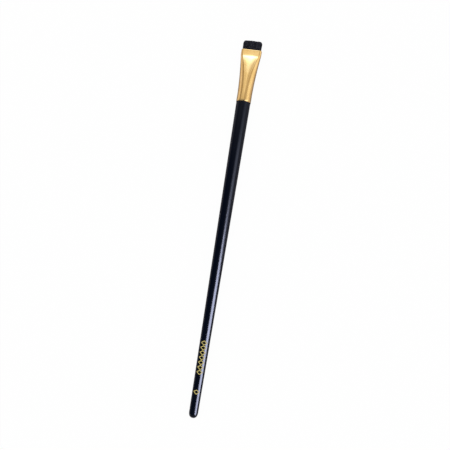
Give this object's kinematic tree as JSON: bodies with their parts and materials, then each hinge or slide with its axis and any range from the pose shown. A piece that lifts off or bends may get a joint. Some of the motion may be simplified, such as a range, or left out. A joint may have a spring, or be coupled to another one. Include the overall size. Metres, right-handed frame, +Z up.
{
  "type": "eyeliner brush",
  "caption": "Slim make-up brush with a tapered black handle, a metal ferrule pressed flat at its mouth and a short flat tuft of dark bristles, for drawing eyeliner.",
  "frame": {"origin": "middle of the underside of the whole brush's box, on the table that it rests on", "axes": "+Y along the brush from the rounded end of the handle towards the bristles, +Z up, on the side that one flat face of the ferrule looks to, +X to the right across the flat mouth"},
  "size_m": [0.0092, 0.1698, 0.0065],
  "materials": {
    "handle": "black gloss lacquer over turned wood",
    "handle_glue": "set adhesive, amber, glossy",
    "ferrule": "polished, anodised gold colour",
    "bristles": "black drawn filaments, satin",
    "thread": "undyed twisted thread",
    "resin": "cast epoxy, amber"
  },
  "bodies": {
    "root": {"handle": "handle", "handle_glue": "handle_glue", "ferrule": "ferrule", "bristle_tuft": "bristles", "binding_thread": "thread", "root_glue": "resin"}
  },
  "joints": []
}
